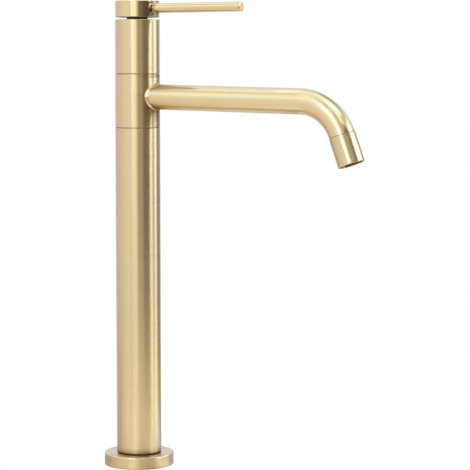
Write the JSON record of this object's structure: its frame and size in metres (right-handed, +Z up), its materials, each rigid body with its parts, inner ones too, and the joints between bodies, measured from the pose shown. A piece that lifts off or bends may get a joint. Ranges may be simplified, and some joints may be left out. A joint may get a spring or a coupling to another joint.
{
  "type": "basin mixer faucet",
  "caption": "Tall deck-mounted single-lever basin mixer in brushed gold with a swivelling tubular spout bent down at its end and a pin lever on a round cap.",
  "frame": {"origin": "on the column axis at the deck plane, which is the underside of the base flange", "axes": "+Z up along the column, +X along the spout and the lever at rest (the front), +Y to the hot supply side"},
  "size_m": [0.2263, 0.0544, 0.4223],
  "materials": {
    "brushed_gold": "brushed, satin gold PVD coat on brass",
    "inner_brass": "machined, uncoated",
    "copper": "drawn copper tube",
    "steel": "stainless, machined",
    "black_rubber": "moulded EPDM",
    "acetal": "machined white acetal",
    "dark_plastic": "moulded dark grey",
    "ceramic": "lapped alumina ceramic"
  },
  "bodies": {
    "root": {"base_flange": "brushed_gold", "deck_seal": "black_rubber", "base_plug": "inner_brass", "column_tube": "brushed_gold", "hot_supply_tube": "copper", "cold_supply_tube": "copper", "valve_core": "inner_brass", "lower_spout_seal": "black_rubber", "upper_spout_seal": "black_rubber", "lower_slide_ring": "acetal", "upper_slide_ring": "acetal", "swivel_stop_pin": "steel", "upper_body": "brushed_gold", "port_gasket": "black_rubber", "cartridge_base": "dark_plastic", "fixed_disc": "ceramic", "cartridge_housing": "dark_plastic", "retaining_nut": "inner_brass", "fixing_stud": "steel", "clamp_gasket": "black_rubber", "clamp_washer": "steel", "fixing_nut": "inner_brass"},
    "spout": {"spout_hub": "brushed_gold", "spout_tube": "brushed_gold", "aerator_housing": "brushed_gold", "aerator_seal": "black_rubber", "aerator_screen": "steel", "aerator_insert": "dark_plastic"},
    "turret": {"cartridge_carrier": "acetal", "pivot_pin": "steel"},
    "slider": {"moving_disc": "ceramic", "disc_driver": "acetal"},
    "handle": {"handle_cap": "brushed_gold", "lever_pin": "brushed_gold", "stem": "inner_brass", "handle_set_screw": "steel"}
  },
  "joints": [
    {"name": "spout_swivel", "type": "hinge", "parent": "root", "child": "spout", "pos_m": [0, 0, 0.2869], "axis": [0, 0, 1], "range_deg": [-60, 60]},
    {"name": "temperature", "type": "hinge", "parent": "root", "child": "turret", "pos_m": [0, 0, 0.33], "axis": [0, 0, 1], "range_deg": [-45, 45]},
    {"name": "lever_lift", "type": "hinge", "parent": "turret", "child": "handle", "pos_m": [0, 0, 0.33], "axis": [0, -1, 0], "range_deg": [0, 18]},
    {"name": "disc_slide", "type": "slide", "parent": "turret", "child": "slider", "axis": [1, 0, 0], "range_m": [0, 0.0015]}
  ],
  "couplings": [
    {"joint": "disc_slide", "follows": "lever_lift", "m_per_rad": 0.0046}
  ]
}
